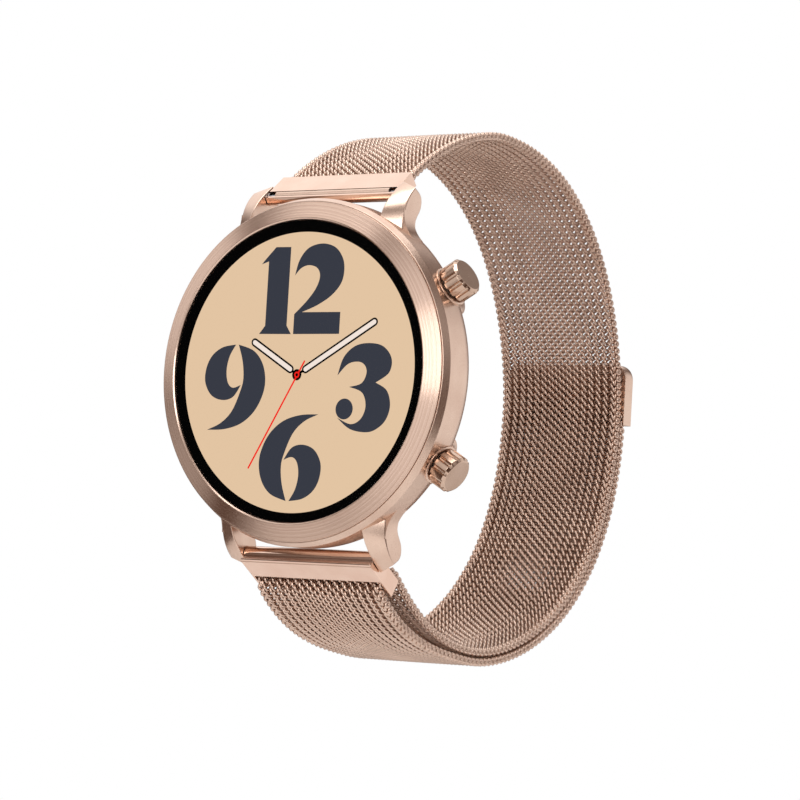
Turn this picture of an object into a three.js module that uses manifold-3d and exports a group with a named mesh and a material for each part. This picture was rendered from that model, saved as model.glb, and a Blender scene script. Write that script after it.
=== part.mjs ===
// Smartwatch with a 44 mm round case, two fluted crowns and a magnetic woven-steel loop strap.
// Millimetres. The dial faces -Y, 12 o'clock is +Z, the crowns are on +X, and the origin is the
// centre of the case back, so the wrist side and the whole strap loop lie towards +Y.
// "Depth" in this file is the distance behind the plane of the bezel's inner rim.
import * as THREE from 'three';
import { mergeVertices } from 'three/addons/utils/BufferGeometryUtils.js';
import Module from 'manifold-3d';

const wasm = await Module();
wasm.setup();

// ---------------------------------------------------------------- driving dimensions
// Case
const caseRadius = 22.2;            // widest flank
const caseThickness = 10.6;         // rim plane to sensor window
const wallThickness = 2.3;          // flank to cavity
const shoulderWidth = 0.45;         // conical band in front of the flank
const shoulderDepth = 1.0;          // depth where that band starts
const flankStart = 2.0;             // depth where the flank starts
const flankEnd = 5.1;               // depth where the belly starts to curve in
const bellyEnd = 8.5;               // depth of the rear edge of the mid case
const bellyInset = 2.3;             // how far the belly curves in
const rearWall = 1.0;               // wall left at the rear edge of the mid case
// Bezel, glass and display
const glassRadius = 19.15;
const glassThickness = 0.8;
const glassRecess = 0.15;           // glass below the bezel's rim
const bezelDrop = 0.82;             // how far the bezel slopes back to its outer edge
const bezelSkirt = 1.0;             // depth of the part that sits in the mid case
const grooveWidth = 0.15;           // step between bezel and shoulder
const seatWidth = 0.45;             // ledge that carries the glass
const displayThickness = 0.7;
// Clearances
const fit = 0.06;                   // pieces that are glued, pressed or laid together
const running = 0.05;               // radial clearance of turning and sliding pieces
// Lugs and spring bars
const lugGap = 20.4;                // between the inner faces of a pair, for a 20 mm strap
const lugWidth = 2.55;
const filletRadius = 5;             // between a lug's outer side and the flank
const barDepth = 6.3;               // spring-bar axis behind the rim plane
const barReach = caseRadius + 1.0;  // spring-bar axis above and below the dial centre
const barRadius = 0.75;
const pinRadius = barRadius - 0.35;
const pinEngagement = 0.9;          // how far a tip stands in its lug
const barWall = 0.2;
// Crowns
const crownAngle = 60;              // degrees from 12 o'clock, and from 6 o'clock for the lower one
const crownDepth = 5.6;
const crownRadius = 2.45;
const crownLength = 2.38;
const crownFlutes = 12;
const crownPress = 0.25;            // travel of a press
const bossRadius = 2.7;
const bossRise = 0.12;              // boss above the flank
const tubeRadius = 1.3;
const stemRadius = 0.7;
// Strap
const strapWidth = 20.2;            // end pieces
const meshWidth = 19.4;
const meshThickness = 1.2;
const layerGap = 0.15;              // between the two layers of woven mesh
const clampDepth = 1.2;             // mesh held in the upper end piece
const plateThickness = 2.05;        // upper end piece
const plateLength = 3.85;
const frameThickness = 2.5;         // lower slotted frame
const frameLength = 5.5;
const slotStart = 2.45;             // slot edge from the spring bar
const loopBar = 1.2;                // width of the bar that the mesh folds round
const claspLength = 8.7;
const claspThickness = 2.1;
const claspCorner = 2.2;
const claspFoot = -1.2;             // height of the clasp's lower end
const magnetCount = 3;

const cavityRadius = caseRadius - wallThickness;
const bezelRadius = caseRadius - shoulderWidth - grooveWidth;
const openingRadius = glassRadius + 0.1;
const glassBack = glassRecess + glassThickness;
const seatDepth = glassBack + 0.1;
const skirtEnd = bezelDrop + 0.15 + bezelSkirt;
const bodyFloor = skirtEnd + fit;
const flank = { start: flankStart, end: flankEnd };
const filletStart = barDepth - 2.5;
const filletEnd = barDepth + 0.1;
const halfGap = lugGap / 2;
const halfStrap = strapWidth / 2;
const halfMesh = meshWidth / 2;
const deg = Math.PI / 180;

// ---------------------------------------------------------------- materials
const metal = (color, roughness) => new THREE.MeshStandardMaterial({ color, roughness, metalness: 1 });
const plastic = (color, roughness) => new THREE.MeshStandardMaterial({ color, roughness, metalness: 0 });
const roseGold = metal(0xc79f88, 0.28);
const polishedRose = metal(0xecc9b5, 0.12);
const meshSteel = metal(0xa9826e, 0.35);
const steel = metal(0xb9bcc0, 0.25);
const brass = metal(0xc9a64d, 0.3);
const magnetMetal = metal(0x8d9094, 0.3);
const glassBlack = plastic(0x050506, 0.04);
const screen = plastic(0xe3c5a3, 0.3);
const blackPlastic = plastic(0x17181a, 0.45);
const rubber = plastic(0x202124, 0.8);
const board = plastic(0x1d4a35, 0.5);
const foil = plastic(0x8f9398, 0.4);

// ---------------------------------------------------------------- solids
const group = new THREE.Group();
group.name = 'smartwatch';

// A closed manifold solid from any closed geometry, turned the right way out.
function toSolid(geometry) {
  const bare = geometry.clone();
  for (const name of Object.keys(bare.attributes)) {
    if (name !== 'position') bare.deleteAttribute(name);
  }
  const merged = mergeVertices(bare, 1e-4);
  const vertProperties = new Float32Array(merged.attributes.position.array);
  const index = merged.index.array;
  const kept = [];
  for (let i = 0; i < index.length; i += 3) {
    const [a, b, c] = [index[i], index[i + 1], index[i + 2]];
    if (a !== b && b !== c && c !== a) kept.push(a, b, c);
  }
  let volume = 0;
  const corner = (i) => new THREE.Vector3().fromArray(vertProperties, 3 * i);
  for (let i = 0; i < kept.length; i += 3) {
    volume += corner(kept[i]).dot(corner(kept[i + 1]).cross(corner(kept[i + 2])));
  }
  if (volume < 0) kept.reverse();
  const triVerts = new Uint32Array(kept);
  return new wasm.Manifold(new wasm.Mesh({ numProp: 3, vertProperties, triVerts }));
}

function toGeometry(solid) {
  const mesh = solid.getMesh();
  const geometry = new THREE.BufferGeometry();
  geometry.setAttribute('position', new THREE.BufferAttribute(new Float32Array(mesh.vertProperties), 3));
  geometry.setIndex(new THREE.BufferAttribute(new Uint32Array(mesh.triVerts), 1));
  geometry.computeVertexNormals();
  return geometry;
}

const joined = (...solids) => solids.reduce((sum, next) => sum.add(next));
const cutBy = (solid, ...tools) => tools.reduce((rest, tool) => rest.subtract(tool), solid);

function add(parent, name, solid, material) {
  const mesh = new THREE.Mesh(toGeometry(solid), material);
  mesh.name = name;
  parent.add(mesh);
  return mesh;
}

// A box between two opposite corners.
function boxBetween(low, high) {
  const size = high.map((value, axis) => value - low[axis]);
  const box = new THREE.BoxGeometry(...size);
  box.translate(...low.map((value, axis) => value + size[axis] / 2));
  return toSolid(box);
}

// Height on the Y axis of a depth behind the rim plane.
const atDepth = (depth) => depth - caseThickness;

// A turned piece about the watch axis. The profile is a closed list of [radius, depth].
function turned(profile, segments = 64) {
  const points = profile.map(([radius, depth]) => new THREE.Vector2(radius, atDepth(depth)));
  points.push(points[0].clone());
  return toSolid(new THREE.LatheGeometry(points, segments));
}

// A turned piece about an axis of its own, as a geometry along +Y. The profile is [radius, along].
function turnedGeometry(profile, segments = 24) {
  const points = profile.map(([radius, along]) => new THREE.Vector2(radius, along));
  points.push(points[0].clone());
  return new THREE.LatheGeometry(points, segments);
}

const rod = (radius, from, to, segments = 24) =>
  turnedGeometry([[0, from], [radius, from], [radius, to], [0, to]], segments);

const sleeve = (inner, outer, from, to, segments = 24) =>
  turnedGeometry([[inner, from], [outer, from], [outer, to], [inner, to]], segments);

// A straight block between two corners given as [x, depth, z].
function block(low, high) {
  const size = high.map((value, axis) => value - low[axis]);
  const geometry = new THREE.BoxGeometry(...size);
  const middle = low.map((value, axis) => value + size[axis] / 2);
  geometry.translate(middle[0], atDepth(middle[1]), middle[2]);
  return toSolid(geometry);
}

// An outline in the plane across the strap, as points of [y, z], drawn out along X.
function acrossStrap(outline, fromX, toX) {
  const shape = new THREE.Shape(outline.map(([y, z]) => new THREE.Vector2(y, z)));
  const geometry = new THREE.ExtrudeGeometry(shape, { depth: toX - fromX, bevelEnabled: false });
  const turn = new THREE.Matrix4().makeBasis(
    new THREE.Vector3(0, 1, 0), new THREE.Vector3(0, 0, 1), new THREE.Vector3(1, 0, 0));
  geometry.applyMatrix4(turn);
  geometry.translate(fromX, 0, 0);
  return geometry;
}

// Points on an arc about a centre, angles in degrees.
function arc(centre, radius, from, to, steps) {
  const points = [];
  for (let i = 0; i <= steps; i += 1) {
    const angle = (from + (to - from) * i / steps) * deg;
    points.push([centre[0] + radius * Math.cos(angle), centre[1] + radius * Math.sin(angle)]);
  }
  return points;
}

// ---------------------------------------------------------------- crown axes
// A crown's own frame has +Y along its axis, away from the watch, +Z towards the wrist, and starts
// on the watch axis.
function crownMatrix(side) {
  const fromTop = (side > 0 ? crownAngle : 180 - crownAngle) * deg;
  const outward = new THREE.Vector3(Math.sin(fromTop), 0, Math.cos(fromTop));
  const back = new THREE.Vector3(0, 1, 0);
  const turn = new THREE.Matrix4().makeBasis(outward.clone().cross(back), outward, back);
  return turn.setPosition(0, atDepth(crownDepth), 0);
}
const crownSides = [['upper', 1], ['lower', -1]];
const bossEnd = caseRadius + bossRise;
const knobStart = bossEnd + crownPress + 0.05;
const knobEnd = knobStart + crownLength;
const tubeEnd = bossEnd + 0.55;
const tubeStart = cavityRadius - 0.6;

// ---------------------------------------------------------------- mid case
// The lug outline runs from its root inside the case, along the curved front, round the tip's
// cut end and bulge, and back along the waisted rear. Each point is [depth, z].
function lugOutline(rootZ, front, tip, bulge, waist) {
  const curve = new THREE.QuadraticBezierCurve(
    new THREE.Vector2(...front[0]), new THREE.Vector2(...front[1]), new THREE.Vector2(...tip));
  const rear = new THREE.SplineCurve([tip, ...bulge, ...waist].map((p) => new THREE.Vector2(...p)));
  const points = [[front[0][0], rootZ]];
  for (const p of curve.getPoints(8)) points.push([p.x, p.y]);
  for (const p of rear.getPoints(14).slice(1)) points.push([p.x, p.y]);
  points.push([waist[waist.length - 1][0], rootZ]);
  return points;
}

// Control points of the lug's front and rear, at its inner and its outer side face, measured from
// the spring-bar axis.
function lugSolid(sideX, sideZ) {
  const at = (depth, z) => [barDepth + depth, barReach + z];
  const inner = lugOutline(barReach - 6.2, [at(-4.35, -4.6), at(-4.0, -1.5)], at(0.55, 1.6),
    [at(1.75, 0.2), at(1.55, -1.7)], [at(0.45, -3.6), at(1.0, -5.6)]);
  const outer = lugOutline(barReach - 7.4, [at(-2.5, -5.6), at(-3.1, -1.7)], at(-0.3, 0.55),
    [at(1.1, -0.35), at(1.2, -1.9)], [at(0.15, -4.0), at(0.7, -6.2)]);
  const geometry = acrossStrap(inner.map(([depth, z]) => [atDepth(depth), z]), halfGap, halfGap + lugWidth);
  const position = geometry.attributes.position;
  for (let i = 0; i < position.count; i += 1) {
    if (position.getX(i) > halfGap + lugWidth / 2) {
      const y = position.getY(i);
      const z = position.getZ(i);
      const near = inner.findIndex(([depth, iz]) => Math.hypot(atDepth(depth) - y, iz - z) < 1e-4);
      position.setY(i, atDepth(outer[near][0]));
      position.setZ(i, outer[near][1]);
    }
  }
  geometry.scale(sideX, 1, sideZ);
  return toSolid(geometry);
}

// A concave fillet from the flank to a lug's outer side, tangent to both.
function lugFillet(sideX, sideZ) {
  const side = halfGap + lugWidth;
  const centreX = side + filletRadius;
  const centreZ = Math.sqrt((caseRadius + filletRadius) ** 2 - centreX ** 2);
  const sweep = Math.atan2(centreZ, centreX);
  const outline = [[side - lugWidth / 3, centreZ]];
  for (let i = 0; i <= 8; i += 1) {
    const t = Math.PI + sweep * i / 8;
    outline.push([centreX + filletRadius * Math.cos(t), centreZ + filletRadius * Math.sin(t)]);
  }
  outline.push([side - lugWidth / 3, centreZ - filletRadius * 0.8]);
  const geometry = acrossStrap(outline, -atDepth(filletEnd), -atDepth(filletStart));
  geometry.rotateZ(-90 * deg);
  geometry.scale(sideX, 1, sideZ);
  return toSolid(geometry);
}

function barHole(sideX, sideZ) {
  const hole = rod(pinRadius + running, halfGap - 0.5, halfGap + pinEngagement + 0.15, 16);
  hole.rotateZ(-90 * deg);
  hole.scale(sideX, 1, 1);
  hole.translate(0, atDepth(barDepth), sideZ * barReach);
  return toSolid(hole);
}

function bellyCurve(radius, from, to, inset, steps) {
  const points = [];
  for (let i = 0; i <= steps; i += 1) {
    const t = (i / steps) * 60 * deg;
    points.push([radius - inset * (1 - Math.cos(t)) / (1 - Math.cos(60 * deg)),
      from + (to - from) * Math.sin(t) / Math.sin(60 * deg)]);
  }
  return points;
}

const bossPlaces = [45, 135, 225, 315].map((angle) => angle * deg);
const screwCircle = cavityRadius - 2.7;
const bossCircle = cavityRadius - 1.7;

function postAt(angle, circle, radius, from, to, segments = 20) {
  const post = rod(radius, atDepth(from), atDepth(to), segments);
  post.translate(circle * Math.cos(angle), 0, circle * Math.sin(angle));
  return toSolid(post);
}

function midCase() {
  const rearRadius = caseRadius - bellyInset;
  let solid = turned([
    [0, shoulderDepth],
    [caseRadius - shoulderWidth, shoulderDepth],
    [caseRadius, flank.start],
    ...bellyCurve(caseRadius, flank.end, bellyEnd, bellyInset, 5),
    [0, bellyEnd],
  ], 72);
  for (const sideX of [-1, 1]) {
    for (const sideZ of [-1, 1]) solid = joined(solid, lugSolid(sideX, sideZ), lugFillet(sideX, sideZ));
  }
  for (const [, side] of crownSides) {
    const boss = turnedGeometry([[0, cavityRadius], [bossRadius + 0.3, cavityRadius],
      [bossRadius + 0.3, caseRadius - 0.3], [bossRadius - 0.25, bossEnd], [0, bossEnd]], 32);
    boss.applyMatrix4(crownMatrix(side));
    solid = solid.add(toSolid(boss));
  }
  const cavity = turned([
    [0, shoulderDepth - 1],
    [bezelRadius - 0.25 + fit, shoulderDepth - 1],
    [bezelRadius - 0.25 + fit, bodyFloor],
    [cavityRadius - 0.3, bodyFloor],
    [cavityRadius, bodyFloor + 0.4],
    [cavityRadius, bellyEnd - 1.5],
    [rearRadius - rearWall, bellyEnd - 1.2],
    [rearRadius - rearWall, bellyEnd + 1],
    [0, bellyEnd + 1],
  ], 72);
  solid = solid.subtract(cavity);
  for (const angle of bossPlaces) {
    solid = solid.add(postAt(angle, bossCircle, 1.95, 4.4, bellyEnd - 0.9));
  }
  for (const angle of bossPlaces) {
    solid = solid.subtract(postAt(angle, screwCircle, 0.7, 5.4, bellyEnd));
  }
  for (const [, side] of crownSides) {
    const bore = rod(tubeRadius + fit / 2, cavityRadius - 1, bossEnd + 1, 28);
    bore.applyMatrix4(crownMatrix(side));
    solid = solid.subtract(toSolid(bore));
  }
  for (const sideX of [-1, 1]) {
    for (const sideZ of [-1, 1]) solid = solid.subtract(barHole(sideX, sideZ));
  }
  return solid;
}
add(group, 'mid_case', midCase(), roseGold);

// ---------------------------------------------------------------- bezel, glass, display
add(group, 'bezel', turned([
  [openingRadius, glassRecess],
  [openingRadius + 0.2, 0],
  [bezelRadius - 0.2, bezelDrop - 0.08],
  [bezelRadius, bezelDrop],
  [bezelRadius, bezelDrop + 0.08],
  [bezelRadius - 0.25, bezelDrop + 0.14],
  [bezelRadius - 0.25, skirtEnd],
  [openingRadius - seatWidth, skirtEnd],
  [openingRadius - seatWidth, seatDepth],
  [openingRadius, seatDepth],
], 72), roseGold);
add(group, 'cover_glass', turned([
  [0, glassRecess], [glassRadius - 0.15, glassRecess], [glassRadius, glassRecess + 0.15],
  [glassRadius, glassBack], [0, glassBack],
]), glassBlack);
add(group, 'glass_adhesive', turned([
  [openingRadius - seatWidth + 0.05, glassBack + 0.02], [glassRadius, glassBack + 0.02],
  [glassRadius, seatDepth - 0.02], [openingRadius - seatWidth + 0.05, seatDepth - 0.02],
]), rubber);
const displayRadius = openingRadius - seatWidth - 0.08;
const displayBack = glassBack + 0.03 + displayThickness;
add(group, 'display_panel', turned([
  [0, glassBack + 0.03], [displayRadius, glassBack + 0.03],
  [displayRadius, displayBack], [0, displayBack],
]), screen);

// ---------------------------------------------------------------- inside the case
const chassisFront = bodyFloor + 0.15;
const chassisBack = chassisFront + 0.5;
const boardFront = chassisBack + 0.15;
const boardBack = boardFront + 0.8;
const batteryBox = { low: [-15, boardFront, -9.5], high: [4, boardFront + 4.0, 9.5] };
const chassisDisc = turned([[0, chassisFront], [cavityRadius - 0.4, chassisFront],
  [cavityRadius - 0.4, chassisBack], [0, chassisBack]], 48);
add(group, 'chassis_plate', cutBy(chassisDisc,
  block([7, chassisFront - 1, -5], [13, chassisBack + 1, 5])), foil);
add(group, 'battery', block(batteryBox.low, batteryBox.high), foil);
const boardDisc = turned([[0, boardFront], [cavityRadius - 1.2, boardFront],
  [cavityRadius - 1.2, boardBack], [0, boardBack]], 48);
add(group, 'main_board', cutBy(boardDisc, block(
  [-30, boardFront - 1, batteryBox.low[2] - 0.4],
  [batteryBox.high[0] + 0.4, boardBack + 1, batteryBox.high[2] + 0.4])), board);
add(group, 'processor_shield', block([5.2, boardBack + fit, -4.5], [12, boardBack + 1.4, 4.5]), steel);

// Coin motor: a cup, its cover and the off-centre weight that spins on the cup's pin.
const motor = { x: -3, z: 14, radius: 4, front: boardBack + 0.1, back: boardBack + 2.8 };
function atMotor(geometry) {
  geometry.translate(motor.x, 0, motor.z);
  return toSolid(geometry);
}
add(group, 'motor_cup', atMotor(turnedGeometry([
  [0, atDepth(motor.front)], [motor.radius, atDepth(motor.front)],
  [motor.radius, atDepth(motor.back - 0.3)], [motor.radius - 0.3, atDepth(motor.back - 0.3)],
  [motor.radius - 0.3, atDepth(motor.front + 0.3)], [0.4, atDepth(motor.front + 0.3)],
  [0.4, atDepth(motor.back - 0.5)], [0, atDepth(motor.back - 0.5)],
], 32)), steel);
add(group, 'motor_cover', atMotor(rod(motor.radius, atDepth(motor.back - 0.3 + fit / 2),
  atDepth(motor.back), 32)), steel);
function motorWeight() {
  const outline = [...arc([0, 0], motor.radius - 0.6, -80, 80, 10), ...arc([0, 0], 1.2, 120, 240, 6)];
  const shape = new THREE.Shape(outline.map(([x, z]) => new THREE.Vector2(x, z)));
  const depth = motor.back - motor.front - 1.4;
  const geometry = new THREE.ExtrudeGeometry(shape, { depth, bevelEnabled: false });
  geometry.rotateX(90 * deg);
  geometry.translate(motor.x, atDepth(motor.front + 0.6) + depth, motor.z);
  const bore = rod(0.4 + running, atDepth(motor.front), atDepth(motor.back));
  return toSolid(geometry).subtract(atMotor(bore));
}
add(group, 'motor_weight', motorWeight(), brass);
add(group, 'speaker', block([-9, boardBack + fit, -17], [3, boardBack + 3, -11]), blackPlastic);

// ---------------------------------------------------------------- rear cover and sensor
const windowRadius = 8;
const rearRadius = caseRadius - bellyInset;
const lipRadius = rearRadius - rearWall - 0.1;
const coverFront = bellyEnd + fit;
const plateau = caseThickness - 0.15;
const windowSeat = caseThickness - 0.8;
const gasketGroove = 0.35;
function rearCover() {
  let solid = turned([
    [windowRadius + 0.08, plateau], [windowRadius + 0.08, windowSeat], [windowRadius - 1, windowSeat],
    [windowRadius - 1, windowSeat - 0.7], [lipRadius - 0.8, coverFront + 0.3],
    [lipRadius - 0.8, bellyEnd - 0.75], [lipRadius, bellyEnd - 0.75],
    [lipRadius, bellyEnd - 0.6], [lipRadius - gasketGroove, bellyEnd - 0.6],
    [lipRadius - gasketGroove, bellyEnd - 0.1], [lipRadius, bellyEnd - 0.1],
    [lipRadius, coverFront], [rearRadius - 0.1, coverFront], [rearRadius - 0.5, coverFront + 0.5],
    [rearRadius - 1.6, coverFront + 0.95], [rearRadius - 3.4, coverFront + 1.3],
    [windowRadius + 5, plateau - 0.25], [windowRadius + 4.3, plateau],
  ], 72);
  for (const angle of bossPlaces) {
    solid = solid.subtract(postAt(angle, screwCircle, 0.75, 5, caseThickness));
    solid = solid.subtract(postAt(angle, screwCircle, 1.25, coverFront + 0.75, caseThickness));
  }
  for (const sideX of [-1, 1]) solid = solid.subtract(contactPin(sideX, 0.06, 0.3));
  return solid;
}
function contactPin(sideX, grow, reach) {
  const pin = rod(1.0 + grow, atDepth(windowSeat - 1.2), atDepth(plateau + reach), 20);
  pin.translate(sideX * 2.4, 0, -(windowRadius + 2.1));
  return toSolid(pin);
}
add(group, 'rear_cover', rearCover(), blackPlastic);
const gasketRadius = lipRadius - gasketGroove + 0.24;
const gasketDepth = bellyEnd - 0.35;
const gasketOutline = arc([gasketRadius, gasketDepth], 0.19, 0, 315, 7);
add(group, 'rear_gasket', turned(gasketOutline, 48), rubber);
add(group, 'sensor_window', turned([
  [0, windowSeat + fit], [windowRadius, windowSeat + fit], [windowRadius, caseThickness - 0.1],
  [windowRadius - 0.2, caseThickness], [0, caseThickness],
], 48), glassBlack);
add(group, 'sensor_board', turned([
  [0, coverFront - 0.5], [windowRadius + 0.9, coverFront - 0.5],
  [windowRadius + 0.9, coverFront + 0.1], [0, coverFront + 0.1],
], 40), board);
add(group, 'sensor_led', block([-2, coverFront + 0.16, -2], [2, windowSeat - 0.1, 2]), screen);
for (const [name, sideX] of [['left', -1], ['right', 1]]) {
  add(group, `charging_contact_${name}`, contactPin(sideX, 0, 0.08), brass);
}
bossPlaces.forEach((angle, i) => {
  const shank = postAt(angle, screwCircle, 0.62, 5.6, coverFront + 0.9, 16);
  const head = postAt(angle, screwCircle, 1.15, coverFront + 0.8, coverFront + 1.25, 16);
  const slot = block([-0.9, coverFront + 1.05, -0.15], [0.9, coverFront + 2, 0.15])
    .translate(screwCircle * Math.cos(angle), 0, screwCircle * Math.sin(angle));
  add(group, `rear_screw_${i + 1}`, joined(shank, head).subtract(slot), steel);
});

// ---------------------------------------------------------------- crowns
// The knob's outline is a circle with round-bottomed flutes, and its rim is turned to a bevel.
function crownKnob() {
  const outline = [];
  const steps = crownFlutes * 6;
  for (let i = 0; i < steps; i += 1) {
    const angle = 2 * Math.PI * i / steps;
    const wave = Math.max(0, Math.cos(crownFlutes * angle));
    const radius = crownRadius - 0.32 * Math.sqrt(wave);
    outline.push(new THREE.Vector2(radius * Math.cos(angle), radius * Math.sin(angle)));
  }
  const shape = new THREE.Shape(outline);
  const teeth = new THREE.ExtrudeGeometry(shape, { depth: crownLength - 0.75, bevelEnabled: false });
  teeth.rotateX(-90 * deg);
  teeth.translate(0, knobStart, 0);
  const cap = turnedGeometry([[0, knobEnd - 0.85], [crownRadius, knobEnd - 0.85],
    [crownRadius, knobEnd - 0.45], [crownRadius - 0.42, knobEnd], [0, knobEnd]], 48);
  const recess = rod(tubeRadius + 0.2, knobStart - 1, tubeEnd + crownPress + 0.1, 24);
  const socket = rod(stemRadius + 0.02, knobStart, knobEnd - 0.6, 24);
  return cutBy(joined(toSolid(teeth), toSolid(cap)), toSolid(recess), toSolid(socket));
}
const switchEnd = tubeStart - 3.4;
const plungerEnd = tubeStart - 1.9;
for (const [name, side] of crownSides) {
  const crown = new THREE.Group();
  crown.applyMatrix4(crownMatrix(side));
  group.add(crown);
  add(crown, `${name}_crown_knob`, crownKnob(), roseGold);
  add(crown, `${name}_crown_stem`, toSolid(rod(stemRadius, plungerEnd + 0.05, knobEnd - 0.65)), steel);
  add(crown, `${name}_crown_clip`, toSolid(sleeve(stemRadius + 0.03, 1.15, tubeStart - 0.45,
    tubeStart - 0.05)), steel);
  add(crown, `${name}_crown_tube`, toSolid(turnedGeometry([
    [stemRadius + running + 0.3, tubeStart], [tubeRadius, tubeStart], [tubeRadius, tubeEnd],
    [stemRadius + running, tubeEnd], [stemRadius + running, tubeStart + 1.1],
    [stemRadius + running + 0.3, tubeStart + 1.1],
  ])), steel);
  add(crown, `${name}_crown_seal`, toSolid(sleeve(stemRadius + running, stemRadius + 0.31,
    tubeStart + 0.15, tubeStart + 1.0)), rubber);
  add(crown, `${name}_crown_plunger`, toSolid(rod(1.1, plungerEnd - 0.7, plungerEnd)), blackPlastic);
  const button = new THREE.BoxGeometry(3.4, 1.6, 2.6);
  button.translate(0, switchEnd - 0.8, 0);
  const dome = rod(0.8, switchEnd - 0.1, switchEnd + 0.5);
  add(crown, `${name}_crown_switch`, toSolid(button).add(toSolid(dome)), blackPlastic);
}

// ---------------------------------------------------------------- spring bars
for (const [name, sideZ] of crownSides) {
  const bar = new THREE.Group();
  bar.position.set(0, atDepth(barDepth), sideZ * barReach);
  bar.rotation.z = -90 * deg;
  group.add(bar);
  const tubeHalf = halfGap - 1.3;
  const plungerStart = tubeHalf - 2;
  add(bar, `${name}_bar_tube`, toSolid(sleeve(barRadius - barWall, barRadius, -tubeHalf, tubeHalf)), steel);
  add(bar, `${name}_bar_spring`, toSolid(sleeve(0.3, barRadius - barWall - running,
    -plungerStart + 1.05, plungerStart - 1.05, 16)), steel);
  for (const [hand, sideX] of [['left', -1], ['right', 1]]) {
    const tip = turnedGeometry([
      [0, plungerStart], [barRadius - barWall - running, plungerStart],
      [barRadius - barWall - running, tubeHalf - 0.3], [pinRadius, tubeHalf - 0.2],
      [pinRadius, halfGap - 0.25], [0.68, halfGap - 0.25], [0.68, halfGap - 0.05],
      [pinRadius, halfGap - 0.05], [pinRadius, halfGap + pinEngagement - 0.1],
      [pinRadius - 0.1, halfGap + pinEngagement], [0, halfGap + pinEngagement],
    ], 20);
    tip.scale(1, sideX, 1);
    add(bar, `${name}_bar_tip_${hand}`, toSolid(tip), steel);
  }
}

// ---------------------------------------------------------------- strap frames
// A strap frame's section lies in its own axes: "along" leads away from the case and "out" is the
// way its face looks, both from the spring-bar axis.
function strapAxes(sideZ, tilt) {
  const along = [Math.cos(tilt * deg), sideZ * Math.sin(tilt * deg)];
  const out = [-Math.sin(tilt * deg), sideZ * Math.cos(tilt * deg)];
  return (a, o) => [
    atDepth(barDepth) + a * along[0] + o * out[0],
    sideZ * barReach + a * along[1] + o * out[1],
  ];
}
const upperTilt = 39.4;             // degrees that each frame leads away from level
const lowerTilt = 33.7;
const upperAxes = strapAxes(1, upperTilt);
const lowerAxes = strapAxes(-1, lowerTilt);
const upperFace = 0.78;             // face of the upper plate, out from the bar axis
const lowerFace = 1.75;             // face of the lower frame
const barrelRadius = barRadius + running + 0.25;
const plateMiddle = upperFace - plateThickness / 2;

function barBore(sideZ) {
  const bore = rod(barRadius + running, -halfStrap - 1, halfStrap + 1);
  bore.rotateZ(-90 * deg);
  bore.translate(0, atDepth(barDepth), sideZ * barReach);
  return toSolid(bore);
}

function upperEndPiece() {
  const barrel = arc([0, 0], barrelRadius, 150, 290, 8);
  const section = [
    ...barrel, [plateLength, upperFace - plateThickness], [plateLength, upperFace],
    [0.25, upperFace], [0.15, upperFace - 0.12], [-0.15, upperFace - 0.12], [-0.25, upperFace - 0.24],
    [-0.55, upperFace - 0.24],
  ];
  const body = toSolid(acrossStrap(section.map(([a, o]) => upperAxes(a, o)), -halfStrap, halfStrap));
  const half = meshThickness / 2 + fit;
  const mouth = [[plateLength - clampDepth - fit, plateMiddle - half], [plateLength + 1, plateMiddle - half],
    [plateLength + 1, plateMiddle + half], [plateLength - clampDepth - fit, plateMiddle + half]];
  const pocket = toSolid(acrossStrap(mouth.map(([a, o]) => upperAxes(a, o)), -halfMesh - fit, halfMesh + fit));
  return cutBy(body, pocket, barBore(1));
}
add(group, 'upper_end_piece', upperEndPiece(), polishedRose);

const slotEnd = frameLength - loopBar;
const frameMiddle = lowerFace - frameThickness / 2;
function lowerFrame() {
  const barrel = arc([0, 0], barrelRadius, 120, 290, 9);
  const back = lowerFace - frameThickness;
  const section = [
    ...barrel, [2, back], [frameLength, back], [frameLength, lowerFace],
    [-0.6, lowerFace], [-0.75, lowerFace - 0.15], [-0.95, lowerFace - 0.15], [-1.05, lowerFace - 0.35],
  ];
  const body = toSolid(acrossStrap(section.map(([a, o]) => lowerAxes(a, o)), -halfStrap, halfStrap));
  const wide = halfMesh + 0.1;
  const cut = (outline) => toSolid(acrossStrap(outline.map(([a, o]) => lowerAxes(a, o)), -wide, wide));
  const slot = cut([[slotStart, -4], [frameLength + 1, -4], [frameLength + 1, 4], [slotStart, 4]]);
  const half = frameThickness / 2 - 0.25;
  const round = loopBar / 2;
  const barOutline = [
    ...arc([slotEnd + round, frameMiddle + half - round], round, 0, 180, 6),
    ...arc([slotEnd + round, frameMiddle - half + round], round, 180, 360, 6),
  ];
  const bar = toSolid(acrossStrap(barOutline.map(([a, o]) => lowerAxes(a, o)), -wide - 0.1, wide + 0.1));
  return cutBy(body, slot, barBore(-1)).add(bar);
}
add(group, 'lower_loop_frame', lowerFrame(), polishedRose);

// ---------------------------------------------------------------- woven mesh
// The inner layer's middle line runs from the mouth of the upper end piece over the top of the
// wrist, round its far side and along below it to the back of the loop bar. It is level at the
// loop's top and bottom and upright at its far side.
const foldReach = loopBar / 2 + 0.3 + meshThickness / 2;
const foldRise = frameThickness / 2 - 0.25 - loopBar / 2;
const foldHalf = foldReach + foldRise;
const mouthPoint = upperAxes(plateLength, plateMiddle);
const backStart = lowerAxes(slotEnd + loopBar / 2, frameMiddle - foldHalf);
const loopTop = [31.1, barReach + 11.2];
const loopFar = [65.45, 0.7];
const loopBottom = [32.6, -barReach - 11.0];
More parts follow.
